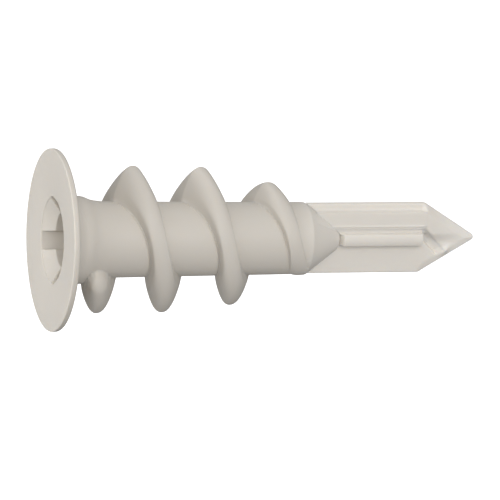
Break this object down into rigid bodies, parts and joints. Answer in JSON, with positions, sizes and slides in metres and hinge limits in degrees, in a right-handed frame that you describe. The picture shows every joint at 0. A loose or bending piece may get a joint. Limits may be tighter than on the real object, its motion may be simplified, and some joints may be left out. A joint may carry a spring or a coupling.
{
  "type": "self-drilling wall anchor",
  "caption": "Nylon self-drilling plasterboard anchor: thin round flange, cross recess, hollow sleeve with coarse thread, split drill blade.",
  "frame": {"origin": "centre of the flange's seating face, which lies on the wall", "axes": "+X along the anchor into the wall, towards the drill point; +Z to one wing of the blade, so the blade lies in the XZ plane; -Y to the front of the blade"},
  "size_m": [0.032, 0.013, 0.013],
  "materials": {
    "nylon": "moulded, satin, natural greyish cream",
    "nylon_blade": "moulded, satin, thin enough at the edges to let light through"
  },
  "bodies": {
    "root": {"head_flange": "nylon", "drive_socket": "nylon", "screw_sleeve": "nylon", "nose_cone": "nylon", "thread_web": "nylon", "thread_turn_1": "nylon", "thread_turn_2": "nylon", "thread_turn_3": "nylon", "thread_run_out": "nylon"},
    "upper_leg": {"upper_wing": "nylon_blade", "upper_rib": "nylon_blade", "upper_land": "nylon_blade", "upper_point": "nylon_blade"},
    "lower_leg": {"lower_wing": "nylon_blade", "lower_rib": "nylon_blade", "lower_land": "nylon_blade", "lower_point": "nylon_blade"}
  },
  "joints": [
    {"name": "upper_leg_hinge", "type": "hinge", "parent": "root", "child": "upper_leg", "pos_m": [0.01843, 0, 0.0025], "axis": [0, -1, 0], "range_deg": [0, 10], "stiffness_Nm_per_rad": 0.002},
    {"name": "lower_leg_hinge", "type": "hinge", "parent": "root", "child": "lower_leg", "pos_m": [0.01843, 0, -0.0025], "axis": [0, 1, 0], "range_deg": [0, 10], "stiffness_Nm_per_rad": 0.002}
  ],
  "couplings": [
    {"joint": "lower_leg_hinge", "follows": "upper_leg_hinge", "ratio": 1}
  ]
}
